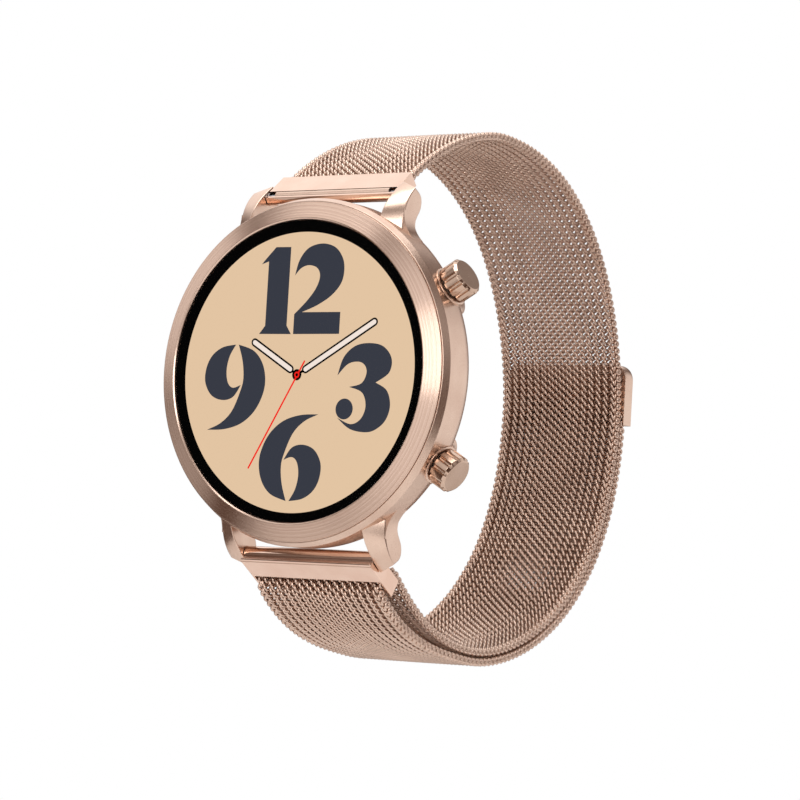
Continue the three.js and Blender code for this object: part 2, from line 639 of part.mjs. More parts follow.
// Each stretch is a cubic curve whose handles lie along its end directions.
function strapCurve(from, fromWay, fromReach, to, toWay, toReach) {
  const handle = (point, way, reach) => new THREE.Vector2(point[0] + reach * way[0], point[1] + reach * way[1]);
  return new THREE.CubicBezierCurve(new THREE.Vector2(...from), handle(from, fromWay, fromReach),
    handle(to, toWay, -toReach), new THREE.Vector2(...to));
}
const yz = ([depth, z]) => [atDepth(depth), z];
const leave = [Math.cos(upperTilt * deg), Math.sin(upperTilt * deg)];
const arrive = [-Math.cos(lowerTilt * deg), Math.sin(lowerTilt * deg)];
const innerCurve = new THREE.CurvePath();
innerCurve.add(strapCurve(mouthPoint, leave, 11.6, yz(loopTop), [1, 0], 3.0));
innerCurve.add(strapCurve(yz(loopTop), [1, 0], 27.6, yz(loopFar), [0, -1], 9.4));
innerCurve.add(strapCurve(yz(loopFar), [0, -1], 28.0, yz(loopBottom), [-1, 0], 10.1));
innerCurve.add(strapCurve(yz(loopBottom), [-1, 0], 13.5, backStart, arrive, 2.0));
for (const curve of innerCurve.curves) curve.arcLengthDivisions = 200;
const innerLength = innerCurve.getLength();

// A point and outward normal at a length along the inner layer.
function onInner(length) {
  const u = length / innerLength;
  const point = innerCurve.getPointAt(u);
  const tangent = innerCurve.getTangentAt(u);
  return { point: [point.x, point.y], normal: [-tangent.y, tangent.x] };
}

// The outer layer lies one thickness and a gap outside, and spreads to the frame's face near the fold.
const layerOffset = meshThickness + layerGap;
const foldSpread = 2 * foldHalf - layerOffset;
const spreadLength = 20;
function outerOffset(fromFold) {
  const t = Math.min(1, fromFold / spreadLength);
  return layerOffset + foldSpread * (1 - t * t * (3 - 2 * t));
}

// Middle line of a stretch of mesh, with a normal at each step.
function stretch(from, to, offset, steps) {
  const line = [];
  for (let i = 0; i <= steps; i += 1) {
    const length = from + (to - from) * i / steps;
    const { point, normal } = onInner(length);
    const away = offset(innerLength - length);
    line.push({ point: point.map((value, axis) => value + away * normal[axis]), normal });
  }
  return line;
}

// The outline of a band of the mesh's thickness about a middle line, drawn across the mesh width.
function meshSolid(line) {
  const half = meshThickness / 2;
  const side = (sign) => line.map(({ point, normal }) => point.map((value, axis) => value + sign * half * normal[axis]));
  return toSolid(acrossStrap([...side(1), ...side(-1).reverse()], -halfMesh, halfMesh));
}

const jointGap = 0.15;
const bandStart = 1.0;              // flex line beyond the mouth of the upper end piece
const tailHinge = innerLength - 24; // first flex line of the outer layer
const claspHinge = innerLength - 58;
const rootLine = [-clampDepth, 0].map((a) => ({
  point: upperAxes(plateLength + a, plateMiddle),
  normal: [-leave[1], leave[0]],
}));
const onLayer = () => 0;
add(group, 'mesh_root', meshSolid([...rootLine, ...stretch(0.3, bandStart - jointGap / 2, onLayer, 1)]), meshSteel);
add(group, 'mesh_inner_layer', meshSolid(stretch(bandStart + jointGap / 2, innerLength - 0.05, onLayer, 56)),
  meshSteel);

// The fold leaves the inner layer behind the bar, turns through the slot and lies on the outside.
function foldLine() {
  const line = [];
  for (let i = 0; i <= 10; i += 1) {
    const angle = (i / 10) * Math.PI;
    const lift = Math.sign(i - 5) * foldRise;
    const away = [-Math.sin(angle), -Math.cos(angle)];
    const middle = [slotEnd + loopBar / 2, frameMiddle + lift];
    const point = lowerAxes(middle[0] + foldReach * away[0], middle[1] + foldReach * away[1]);
    const centre = lowerAxes(...middle);
    line.push({ point, normal: [(point[0] - centre[0]) / foldReach, (point[1] - centre[1]) / foldReach] });
  }
  return line;
}
const frontStretch = stretch(innerLength - 1.5, tailHinge + jointGap / 2, outerOffset, 12);
add(group, 'mesh_fold', meshSolid([...foldLine(), ...frontStretch]), meshSteel);
add(group, 'mesh_tail', meshSolid(stretch(claspHinge + jointGap / 2, tailHinge - jointGap / 2, outerOffset, 16)),
  meshSteel);

// ---------------------------------------------------------------- clasp
const claspBack = atDepth(loopFar[0]) + meshThickness / 2 + layerGap;
const claspFace = claspBack + claspThickness;
const tailEndHeight = claspFoot + 1.5;
function lengthAtHeight(z) {
  let best = innerLength - 40;
  for (let length = innerLength - 110; length < innerLength - 50; length += 0.05) {
    if (Math.abs(onInner(length).point[1] - z) < Math.abs(onInner(best).point[1] - z)) best = length;
  }
  return best;
}
add(group, 'mesh_tail_end', meshSolid(stretch(lengthAtHeight(tailEndHeight), claspHinge - jointGap / 2,
  outerOffset, 12)), meshSteel);

const halfClasp = halfStrap - 0.1;
function claspHousing() {
  const half = halfClasp;
  const shape = new THREE.Shape();
  shape.moveTo(-half, claspFoot);
  shape.lineTo(half, claspFoot);
  shape.lineTo(half, claspFoot + claspLength - claspCorner);
  shape.absarc(half - claspCorner, claspFoot + claspLength - claspCorner, claspCorner, 0, Math.PI / 2);
  shape.absarc(-half + claspCorner, claspFoot + claspLength - claspCorner, claspCorner, Math.PI / 2, Math.PI);
  const plate = new THREE.ExtrudeGeometry(shape, { depth: claspThickness, bevelEnabled: false, curveSegments: 6 });
  plate.rotateX(90 * deg);
  plate.translate(0, claspFace, 0);
  const throat = boxBetween([-halfMesh - fit, claspBack - 1, claspFoot - 1],
    [halfMesh + fit, claspFace - 0.35, tailEndHeight + 0.2]);
  const pocket = boxBetween([-halfMesh + 1.2, claspBack - 1, tailEndHeight + 0.7],
    [halfMesh - 1.2, claspFace - 0.5, claspFoot + claspLength - 1.2]);
  return cutBy(toSolid(plate), throat, pocket);
}
const clasp = claspHousing();
add(group, 'clasp_housing', clasp, roseGold);
const coverLow = tailEndHeight + 0.75;
const coverHigh = claspFoot + claspLength - 1.25;
const halfCover = halfMesh - 1.25;
add(group, 'clasp_cover', boxBetween([-halfCover, claspBack, coverLow], [halfCover, claspBack + 0.25, coverHigh]),
  meshSteel);
const magnetWidth = 2 * halfCover / magnetCount;
for (let i = 0; i < magnetCount; i += 1) {
  const left = -halfCover + i * magnetWidth + 0.1;
  add(group, `clasp_magnet_${i + 1}`, boxBetween([left, claspBack + 0.3, coverLow + 0.1],
    [left + magnetWidth - 0.2, claspFace - 0.55, coverHigh - 0.1]), magnetMetal);
}

export default group;
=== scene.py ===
"""Looks for the smartwatch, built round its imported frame.

Sizes are millimetres in the frame's own axes: the dial faces -Y, 12 o'clock is +Z, the crowns are on
+X and the origin is the centre of the case back. "Depth" is the distance behind the bezel's rim.
"""

import math

import bmesh
import bpy
import numpy as np
from mathutils import Matrix, Vector


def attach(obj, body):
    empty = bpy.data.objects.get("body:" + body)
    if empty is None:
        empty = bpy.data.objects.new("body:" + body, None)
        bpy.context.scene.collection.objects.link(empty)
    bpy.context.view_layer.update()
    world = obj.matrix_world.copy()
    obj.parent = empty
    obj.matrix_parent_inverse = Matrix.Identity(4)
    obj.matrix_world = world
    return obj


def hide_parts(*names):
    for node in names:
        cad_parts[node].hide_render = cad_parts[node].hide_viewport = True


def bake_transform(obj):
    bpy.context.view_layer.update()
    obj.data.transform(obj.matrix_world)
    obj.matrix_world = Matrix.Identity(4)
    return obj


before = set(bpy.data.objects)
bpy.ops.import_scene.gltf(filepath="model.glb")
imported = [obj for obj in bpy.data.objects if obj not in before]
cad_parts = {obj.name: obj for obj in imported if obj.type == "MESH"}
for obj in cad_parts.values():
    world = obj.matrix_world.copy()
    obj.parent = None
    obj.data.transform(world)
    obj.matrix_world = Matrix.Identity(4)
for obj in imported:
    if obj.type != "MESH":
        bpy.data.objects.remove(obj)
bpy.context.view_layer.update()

MM = 0.001
CASE_RADIUS = 22.2
CASE_THICKNESS = 10.6
SHOULDER_WIDTH = 0.45
SHOULDER_DEPTH = 1.0
FLANK_START = 2.0
FLANK_END = 5.1
BEZEL_RADIUS = 21.6
BEZEL_DROP = 0.82
GLASS_RADIUS = 19.15
GLASS_RECESS = 0.15
GLASS_BACK = 0.95
CAVITY_RADIUS = 19.9
BELLY_END = 8.5
BELLY_INSET = 2.3
HALF_GAP = 10.2
LUG_WIDTH = 2.55
BAR_DEPTH = 6.3
BAR_REACH = 23.2
HALF_MESH = 9.7
MESH_THICKNESS = 1.2
LAYER_GAP = 0.15
CROWN_ANGLE = math.radians(60)
CROWN_DEPTH = 5.6
KNOB_START = 22.62
KNOB_END = 25.0
CROWN_RADIUS = 2.45
UPPER_TILT = math.radians(39.4)
LOWER_TILT = math.radians(33.7)
# The inner layer's middle line at its highest, farthest and lowest, as depth and height.
LOOP_TOP = (31.1, BAR_REACH + 11.2)
LOOP_FAR = (65.45, 0.7)
LOOP_BOTTOM = (32.6, -BAR_REACH - 11.0)
# The camera: the point it looks at, how far back it stands, and its azimuth, elevation and roll.
CAMERA_TARGET = (16.344, -10.6, -3.605)
CAMERA_BACK = 365.05
CAMERA_TURN = (34.206, -4.074, -3.339)


# ---------------------------------------------------------------- camera, light and floor
def place_camera():
    """A camera that looks at the target from its azimuth and elevation, rolled about its own axis."""
    target = Vector(CAMERA_TARGET) * MM
    azimuth, elevation, roll = (math.radians(a) for a in CAMERA_TURN)
    back = Vector((math.sin(azimuth) * math.cos(elevation), -math.cos(azimuth) * math.cos(elevation),
                   math.sin(elevation)))
    right = (-back).cross(Vector((0, 0, 1))).normalized()
    down = (-back).cross(right)
    turned_right = math.cos(roll) * right + math.sin(roll) * down
    turned_down = -math.sin(roll) * right + math.cos(roll) * down
    turn = Matrix((turned_right, -turned_down, back)).transposed().to_4x4()
    data = bpy.data.cameras.new("camera")
    data.lens = 133.74
    data.sensor_width = 36.0
    data.clip_start = 0.01
    camera = bpy.data.objects.new("camera", data)
    camera.matrix_world = Matrix.Translation(target + back * CAMERA_BACK * MM) @ turn
    bpy.context.scene.collection.objects.link(camera)
    bpy.context.scene.camera = camera


def aim(thing, towards):
    """Turns a light so that it shines from where it is towards a point."""
    way = Vector(towards) - thing.location
    thing.rotation_euler = way.to_track_quat("-Z", "Y").to_euler()


def soft_light(name, place, towards, size, power):
    """A white rectangular lamp, placed and sized in metres."""
    data = bpy.data.lights.new(name, "AREA")
    data.shape = "RECTANGLE"
    data.size, data.size_y = size
    data.energy = power
    light = bpy.data.objects.new(name, data)
    light.location = place
    aim(light, towards)
    bpy.context.scene.collection.objects.link(light)


# ---------------------------------------------------------------- colour and nodes
def linear(code):
    """An sRGB hex colour as linear RGBA."""
    parts = np.array([int(code[i:i + 2], 16) for i in (1, 3, 5)]) / 255.0
    low = parts / 12.92
    high = ((parts + 0.055) / 1.055) ** 2.4
    return (*np.where(parts <= 0.04045, low, high).tolist(), 1.0)


def node(tree, kind, settings=None, **links):
    """Adds a node. Settings are its properties or socket values; links name an output for each input."""
    made = tree.nodes.new(kind)
    for key, value in (settings or {}).items():
        if key in made.inputs:
            made.inputs[key].default_value = value
        else:
            setattr(made, key, value)
    for key, source in links.items():
        names = [key, key.replace("_", " ")]
        target = next(s for s in made.inputs if s.name in names or s.identifier in names)
        tree.links.new(source, target)
    return made


def new_material(name):
    """A material with only a Principled shader, and its tree."""
    made = bpy.data.materials.new(name)
    made.use_nodes = True
    return made, made.node_tree, made.node_tree.nodes["Principled BSDF"]


# ---------------------------------------------------------------- surfaces
def behind(depth):
    """The Y of a depth behind the rim."""
    return depth - CASE_THICKNESS


def mesh_object(name, points, faces, smooth=True, sharp=32):
    """An object from points in millimetres. Edges that turn more than the sharp angle stay crisp."""
    data = bpy.data.meshes.new(name)
    data.from_pydata(np.asarray(points, float).reshape(-1, 3) * MM, [], faces)
    data.validate()
    data.update()
    if smooth:
        # Edges can be marked crisp only on smooth faces; faces of more than four corners are flat.
        data.polygons.foreach_set("use_smooth", [True] * len(data.polygons))
        if sharp:
            data.set_sharp_from_angle(angle=math.radians(sharp))
        data.polygons.foreach_set("use_smooth", [face.loop_total <= 4 for face in data.polygons])
    made = bpy.data.objects.new(name, data)
    bpy.context.scene.collection.objects.link(made)
    return made


def grid_faces(rows, columns, close_rows=False, close_columns=False, start=0):
    """Quads between neighbouring rows and columns of a grid of points, as an array."""
    r = np.arange(rows if close_rows else rows - 1)
    c = np.arange(columns if close_columns else columns - 1)
    r, c = (a.ravel() for a in np.meshgrid(r, c, indexing="ij"))
    r1, c1 = (r + 1) % rows, (c + 1) % columns
    return start + np.stack([r * columns + c, r * columns + c1, r1 * columns + c1, r1 * columns + c], 1)


def outward(made):
    """Merges doubles and turns every face outwards."""
    work = bmesh.new()
    work.from_mesh(made.data)
    bmesh.ops.remove_doubles(work, verts=work.verts, dist=1e-7)
    bmesh.ops.recalc_face_normals(work, faces=work.faces)
    work.to_mesh(made.data)
    work.free()
    return made


def rounded(profile, radius, steps=3):
    """The closed profile with each corner cut by a small curve that starts radius from the corner, or
    less where a side is short. A point beyond each end of the curve keeps the flats flat."""
    points = np.array(profile, float)
    out = []
    for before, corner, after in zip(np.roll(points, 1, 0), points, np.roll(points, -1, 0)):
        to_before, to_after = before - corner, after - corner
        reach = min(radius, 0.4 * np.linalg.norm(to_before), 0.4 * np.linalg.norm(to_after))
        a = corner + to_before / np.linalg.norm(to_before) * reach
        b = corner + to_after / np.linalg.norm(to_after) * reach
        t = np.linspace(0, 1, steps + 1)[:, None]
        curve = (1 - t) ** 2 * a + 2 * t * (1 - t) * corner + t * t * b
        out += [(corner + 1.2 * (a - corner))[None], curve, (corner + 1.2 * (b - corner))[None]]
    return np.concatenate(out)


def turned(name, profile, steps=256, radius=0.05):
    """A closed profile of (radius, depth) carried round the watch axis. A profile that reaches the
    axis has its doubled points merged there."""
    ring = rounded(profile, radius)
    angle = np.linspace(0, 2 * np.pi, steps, endpoint=False)
    r, depth = np.maximum(ring[:, 0], 0), ring[:, 1]
    points = np.stack([np.outer(r, np.cos(angle)), np.repeat(behind(depth)[:, None], steps, 1),
                       np.outer(r, np.sin(angle))], 2)
    return outward(mesh_object(name, points, grid_faces(len(ring), steps, True, True).tolist()))


def smooth_curve(points, steps):
    """A uniform Catmull-Rom curve through points, with steps pieces to each span."""
    p = np.array(points, float)
    p = np.concatenate([p[:1], p, p[-1:]])
    t = np.linspace(0, 1, steps, endpoint=False)[:, None]
    spans = [0.5 * (2 * p[i] + (p[i + 1] - p[i - 1]) * t + (2 * p[i - 1] - 5 * p[i] + 4 * p[i + 1]
             - p[i + 2]) * t ** 2 + (3 * p[i] - 3 * p[i + 1] + p[i + 2] - p[i - 1]) * t ** 3)
             for i in range(1, len(p) - 2)]
    return np.concatenate(spans + [p[-1:]])


# ---------------------------------------------------------------- materials
def brushed_round_steel(name, base, dark):
    """Rose-gold plated steel turned on a lathe: fine rings about the watch axis, each a hair brighter or darker
    and faintly higher or lower than the next, which draw reflections out into bright sectors."""
    made, tree, shader = new_material(name)
    place = node(tree, "ShaderNodeTexCoord").outputs["Object"]
    apart = node(tree, "ShaderNodeSeparateXYZ", Vector=place)
    flat = node(tree, "ShaderNodeCombineXYZ", X=apart.outputs["X"], Y=apart.outputs["Z"])
    radius = node(tree, "ShaderNodeVectorMath", {"operation": "LENGTH"}, Vector=flat.outputs[0])
    # Rings about 0.11 mm apart: coarser than a lathe's own feed, so that they show.
    line = node(tree, "ShaderNodeTexNoise", {"noise_dimensions": "1D", "Scale": 9000.0, "Detail": 3.0,
                                             "Roughness": 0.6}, W=radius.outputs["Value"])
    tint = node(tree, "ShaderNodeValToRGB", Fac=line.outputs["Fac"])
    tint.color_ramp.elements[0].position = 0.3
    tint.color_ramp.elements[0].color = linear(dark)
    tint.color_ramp.elements[1].position = 0.65
    tint.color_ramp.elements[1].color = linear(base)
    tree.links.new(tint.outputs["Color"], shader.inputs["Base Color"])
    bump = node(tree, "ShaderNodeBump", {"Strength": 0.25, "Distance": 0.00002},
                Height=line.outputs["Fac"])
    tree.links.new(bump.outputs["Normal"], shader.inputs["Normal"])
    shader.inputs["Metallic"].default_value = 1.0
    shader.inputs["Roughness"].default_value = 0.24
    shader.inputs["Anisotropic"].default_value = 0.9
    # A quarter turn: reflections spread across the rings and stay narrow along them.
    shader.inputs["Anisotropic Rotation"].default_value = 0.25
    tangent = node(tree, "ShaderNodeTangent", {"direction_type": "RADIAL", "axis": "Y"})
    tree.links.new(tangent.outputs["Tangent"], shader.inputs["Tangent"])
    return made


def plated_steel(name, base, dark, roughness, grain_mm, depth_mm, strength):
    """Rose-gold plated steel, blasted or buffed: a fine even grain in the finish and faint cloudy
    differences in tone."""
    made, tree, shader = new_material(name)
    place = node(tree, "ShaderNodeTexCoord").outputs["Object"]
    cloud = node(tree, "ShaderNodeTexNoise", {"Scale": 250.0, "Detail": 3.0}, Vector=place)
    grain = node(tree, "ShaderNodeTexNoise", {"Scale": 1000.0 / grain_mm, "Detail": 2.0}, Vector=place)
    tint = node(tree, "ShaderNodeValToRGB", Fac=cloud.outputs["Fac"])
    tint.color_ramp.elements[0].position = 0.35
    tint.color_ramp.elements[0].color = linear(dark)
    tint.color_ramp.elements[1].position = 0.65
    tint.color_ramp.elements[1].color = linear(base)
    tree.links.new(tint.outputs["Color"], shader.inputs["Base Color"])
    rough = node(tree, "ShaderNodeMapRange", {"To Min": roughness * 0.85, "To Max": roughness * 1.2},
                 Value=grain.outputs["Fac"])
    tree.links.new(rough.outputs["Result"], shader.inputs["Roughness"])
    bump = node(tree, "ShaderNodeBump", {"Strength": strength, "Distance": depth_mm * MM},
                Height=grain.outputs["Fac"])
    tree.links.new(bump.outputs["Normal"], shader.inputs["Normal"])
    shader.inputs["Metallic"].default_value = 1.0
    return made


def moulded(name, base, dark, roughness, grain_mm=0.2, metallic=0.0):
    """A moulded or coated part: an even colour with a fine spark-eroded grain."""
    made, tree, shader = new_material(name)
    place = node(tree, "ShaderNodeTexCoord").outputs["Object"]
    grain = node(tree, "ShaderNodeTexNoise", {"Scale": 1000.0 / grain_mm, "Detail": 2.0}, Vector=place)
    tint = node(tree, "ShaderNodeValToRGB", Fac=grain.outputs["Fac"])
    tint.color_ramp.elements[0].color = linear(dark)
    tint.color_ramp.elements[1].color = linear(base)
    tree.links.new(tint.outputs["Color"], shader.inputs["Base Color"])
    bump = node(tree, "ShaderNodeBump", {"Strength": 0.15, "Distance": 0.00002}, Height=grain.outputs["Fac"])
    tree.links.new(bump.outputs["Normal"], shader.inputs["Normal"])
    shader.inputs["Roughness"].default_value = roughness
    shader.inputs["Metallic"].default_value = metallic
    return made


def lit_screen(name, base, dark):
    """A lit display under glass: it gives its own light, with its picture dots as a faint fine grain."""
    made, tree, shader = new_material(name)
    place = node(tree, "ShaderNodeTexCoord").outputs["Object"]
    # Dots 0.11 mm apart, drawn about one and a half times as coarse as the panel's own.
    dots = node(tree, "ShaderNodeTexChecker", {"Scale": 9000.0, "Color1": linear(base),
                                               "Color2": linear(dark)}, Vector=place)
    tree.links.new(dots.outputs["Color"], shader.inputs["Emission Color"])
    shader.inputs["Base Color"].default_value = (0.0, 0.0, 0.0, 1.0)
    shader.inputs["Emission Strength"].default_value = 1.0
    shader.inputs["Roughness"].default_value = 1.0
    shader.inputs["Specular IOR Level"].default_value = 0.0
    return made


def clear_glass(name):
    """Toughened cover glass: clear, polished and coated against reflections."""
    made, _, shader = new_material(name)
    shader.inputs["Base Color"].default_value = (1.0, 1.0, 1.0, 1.0)
    shader.inputs["Transmission Weight"].default_value = 1.0
    shader.inputs["Roughness"].default_value = 0.0
    # The coating is stood in for by an index near air's, so that the glass mirrors almost nothing.
    shader.inputs["IOR"].default_value = 1.08
    return made


# Stainless steel with a rose-gold coating: satin and brushed are soft and even, polished and buffed
# carry clear streaks of reflection, and drawn wire glints along its length.
SATIN = plated_steel("satin_rose_steel", "#E5CBB9", "#DBBFAD", 0.28, 0.12, 0.02, 0.1)
BRUSHED = brushed_round_steel("circular_brushed_rose_steel", "#E8CEBD", "#CBAC99")
POLISHED = plated_steel("polished_rose_steel", "#F0D3C1", "#E9C9B6", 0.12, 0.2, 0.01, 0.05)
WIRE_STEEL = plated_steel("drawn_rose_wire", "#E4CAB9", "#D8BDAC", 0.3, 0.1, 0.01, 0.1)
POLISHED_KNOB = plated_steel("buffed_rose_steel", "#D6BCA9", "#CCB09C", 0.16, 0.15, 0.01, 0.06)
# Bare turned steel and gold-plated brass shine evenly; mouldings, rubber and board are dull.
STEEL = plated_steel("turned_steel", "#C4C6CA", "#B4B6BA", 0.25, 0.1, 0.01, 0.1)
GOLD = plated_steel("gold_plated_contact", "#D8B56A", "#CBA455", 0.22, 0.15, 0.01, 0.1)
BLACK = moulded("matt_black_moulding", "#1B1C1E", "#141517", 0.5)
RUBBER = moulded("silicone_rubber", "#222326", "#1A1B1D", 0.8)
BOARD = moulded("green_solder_mask", "#1F5A3D", "#184A32", 0.35, 0.5)
FOIL = moulded("dull_metal_foil", "#9A9EA3", "#8B8F94", 0.4, 0.3, 0.8)
# Mineral glass over a black print mirrors the room without showing what lies behind.
DARK_GLASS = moulded("black_backed_glass", "#08080A", "#050507", 0.05, 2.0)
GLASS = clear_glass("clear_cover_glass")
# The parts of the display's picture, each giving its own even light.
DIAL = lit_screen("lit_dial_tan", "#E4C6A4", "#E2C4A2")
NUMERAL = lit_screen("lit_dial_slate", "#393C46", "#373A44")
HAND = lit_screen("lit_dial_cream", "#F4E6DC", "#F2E4DA")
OUTLINE = lit_screen("unlit_dial_black", "#050505", "#030303")
SECOND = lit_screen("lit_dial_red", "#F5241C", "#F0221A")


def dress(made, material, body, slot, *stands_for):
    """Gives a piece its material and the body it rides on, and hides the nodes it stands for. The slot is not
    used.
    """
    made.data.materials.clear()
    made.data.materials.append(material)
    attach(made, body)
    if stands_for:
        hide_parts(*stands_for)


# ---------------------------------------------------------------- case
def belly(radius, start, end, inset, steps):
    """Points of (radius, depth) from the flank round the belly, on a sixty-degree arc stretched to fit."""
    t = np.linspace(0, math.radians(60), steps)
    return np.stack([radius - inset * (1 - np.cos(t)) / 0.5, start + (end - start) * np.sin(t)
                     / math.sin(math.radians(60))], 1)


def case_ring():
    """The mid case: a shoulder, the flank and the belly outside, and the cavity with its ledges inside."""
    rear = CASE_RADIUS - BELLY_INSET
    outside = [(CASE_RADIUS - SHOULDER_WIDTH, SHOULDER_DEPTH), (CASE_RADIUS, FLANK_START)]
    outside += belly(CASE_RADIUS, FLANK_END, BELLY_END, BELLY_INSET, 24).tolist()
    inside = [(rear - 1.0, BELLY_END), (rear - 1.0, BELLY_END - 1.2), (CAVITY_RADIUS, BELLY_END - 1.5),
              (CAVITY_RADIUS, 2.4), (BEZEL_RADIUS - 0.19, 2.03), (BEZEL_RADIUS - 0.19, 1.0)]
    return turned("case_ring", outside + inside, 288, 0.06)


def lug_outline(root, front, tip, bulge, waist):
    """One side face of a lug as (depth, z): a quadratic curve up the front, then a smooth curve through
    the tip's cut, the bulge and the waist, then the root inside the case."""
    t = np.linspace(0, 1, 15)[:, None]
    a, b, c = (np.array(p, float) for p in (*front, tip))
    curve = (1 - t) ** 2 * a + 2 * t * (1 - t) * b + t * t * c
    rear = smooth_curve([tip, *bulge, *waist], 6)[1:]
    return np.concatenate([[(front[0][0], root)], curve, rear, [(waist[-1][0], root)]])


def lug(name, side_x, side_z):
    """A loft from the inner side face's outline to the outer one's, with both rims rounded."""
    def at(depth, z):
        return BAR_DEPTH + depth, BAR_REACH + z
    inner = lug_outline(BAR_REACH - 6.2, [at(-4.35, -4.6), at(-4.0, -1.5)], at(0.55, 1.6),
                        [at(1.75, 0.2), at(1.55, -1.7)], [at(0.45, -3.6), at(1.0, -5.6)])
    outer = lug_outline(BAR_REACH - 7.4, [at(-2.5, -5.6), at(-3.1, -1.7)], at(-0.3, 0.55),
                        [at(1.1, -0.35), at(1.2, -1.9)], [at(0.15, -4.0), at(0.7, -6.2)])
    edge = 0.16
    turn = np.linspace(0, np.pi / 2, 4)
    across = np.concatenate([edge * (1 - np.sin(turn)), LUG_WIDTH - edge * (1 - np.sin(turn[::-1]))])
    across = np.sort(across)
    share = across / LUG_WIDTH
    outline = inner[None] * (1 - share[:, None, None]) + outer[None] * share[:, None, None]
    middle = outline.mean(1, keepdims=True)
    spoke = outline - middle
    length = np.linalg.norm(spoke, axis=2, keepdims=True)
    from_side = np.minimum(1, np.minimum(across, LUG_WIDTH - across) / edge)
    drawn_in = edge * (1 - np.sqrt(1 - (1 - from_side) ** 2))
    outline = outline - spoke / length * drawn_in[:, None, None]
    count = outline.shape[1]
    points = np.stack([np.repeat(side_x * (HALF_GAP + across)[:, None], count, 1),
                       behind(outline[:, :, 0]), side_z * outline[:, :, 1]], 2)
    faces = grid_faces(len(across), count, False, True).tolist()
    faces.append(list(range(count)))
    faces.append(list(range((len(across) - 1) * count, len(across) * count))[::-1])
    return outward(mesh_object(name, points, faces, sharp=40))


def plate(name, outline, front, back, smooth=True):
    """A closed outline of (x, z) as a front face, a back face and a rim between two depths."""
    ring = np.array(outline, float)
    count = len(ring)
    points = [np.stack([ring[:, 0], np.full(count, behind(depth)), ring[:, 1]], 1) for depth in (front, back)]
    faces = [list(range(count)), list(range(count, 2 * count))[::-1]]
    faces += [[i, (i + 1) % count, (i + 1) % count + count, i + count] for i in range(count)]
    return outward(mesh_object(name, np.concatenate(points), faces, smooth))


def lug_fillet(name, side_x, side_z):
    """A concave fillet of 5 mm from the flank to a lug's outer side, tangent to both. It stops just
    behind the flank, where the belly starts to curve in."""
    reach = 5.0
    side = HALF_GAP + LUG_WIDTH
    x = side + reach
    z = math.sqrt((CASE_RADIUS + reach) ** 2 - x * x)
    turn = np.pi + np.linspace(0, math.atan2(z, x), 25)
    curve = np.stack([x + reach * np.cos(turn), z + reach * np.sin(turn)], 1)
    outline = np.concatenate([[(side - 0.85, z)], curve, [(side - 0.85, z - 4.0)]])
    return plate(name, outline * (side_x, side_z), BAR_DEPTH - 2.5, BAR_DEPTH - 0.5)


def along_crown(side, ring_radius, ring_angle, along):
    """Points about a crown's axis: radius and angle about it, and distance along it from the watch axis."""
    way = CROWN_ANGLE if side > 0 else math.pi - CROWN_ANGLE
    out = np.array([math.sin(way), 0, math.cos(way)])
    back = np.array([0.0, 1.0, 0.0])
    across = np.cross(out, back)
    base = np.array([0, behind(CROWN_DEPTH), 0])
    return (base + along[..., None] * out + (ring_radius * np.cos(ring_angle))[..., None] * across
            + (ring_radius * np.sin(ring_angle))[..., None] * back)


def crown_turned(name, side, profile, steps=96, radius=0.05, flute=None):
    """A closed profile of (radius, along) carried round a crown's axis. Flute takes the angle and the
    distance along, and gives how deep the surface is cut there."""
    ring = rounded(profile, radius)
    angle = np.linspace(0, 2 * np.pi, steps, endpoint=False)
    r = np.repeat(np.maximum(ring[:, :1], 0), steps, 1)
    along = np.repeat(ring[:, 1:], steps, 1)
    turn = np.repeat(angle[None], len(ring), 0)
    if flute:
        r = r - flute(r, turn, along)
    points = along_crown(side, r, turn, along)
    return outward(mesh_object(name, points, grid_faces(len(ring), steps, True, True).tolist()))


def knob(name, side):
    """A crown's knob. Its side has round-bottomed flutes, full depth at the inner end and running out
    just below the bevelled rim."""
    levels = np.linspace(KNOB_START, KNOB_END - 0.42, 14)
    wall = [(CROWN_RADIUS, level) for level in levels]
    profile = [(1.5, KNOB_START), *wall, (CROWN_RADIUS, KNOB_END - 0.36), (CROWN_RADIUS - 0.36, KNOB_END),
               (0.0, KNOB_END), (0.0, KNOB_END - 0.6), (1.5, KNOB_END - 0.6)]

    def flute(r, turn, along):
        wave = np.sqrt(np.maximum(0, np.cos(12 * turn)))
        fade = np.clip((KNOB_END - 0.3 - along) / 0.1, 0, 1)
        return np.where(r > CROWN_RADIUS - 0.3, 0.36 * wave * fade, 0)
    return crown_turned(name, side, profile, 288, 0.06, flute)


def boss(name, side):
    """The boss that carries a crown: a short neck that flares into the flank."""
    flare = [(2.62 + 1.0 * (1 - math.sin(a)), 21.35 + 0.85 * (1 - math.cos(a)))
             for a in np.linspace(0, math.pi / 2, 8)]
    profile = [(3.62, 20.6), *flare, (2.62, 22.24), (2.4, 22.32), (1.3, 22.32), (1.3, 20.6)]
    return crown_turned(name, side, profile, 96, 0.04)


# ---------------------------------------------------------------- dial
DIAL_SHIFT = (-0.65, 0.05)
FACE_DEPTH = 1.02
NUMERAL_DEPTH = 1.0


def flat_piece(name, outline, depth, material, thickness=0.004):
    """A thin plate of the display's picture."""
    made = plate(name, np.array(outline, float) + DIAL_SHIFT, depth, depth + thickness, smooth=False)
    dress(made, material, "case", "screen")


def arc(centre, radii, start, end, steps=24):
    """Points on an ellipse about a centre, from one angle in degrees to another."""
    t = np.radians(np.linspace(start, end, steps))
    return np.stack([centre[0] + radii[0] * np.cos(t), centre[1] + radii[1] * np.sin(t)], 1).tolist()


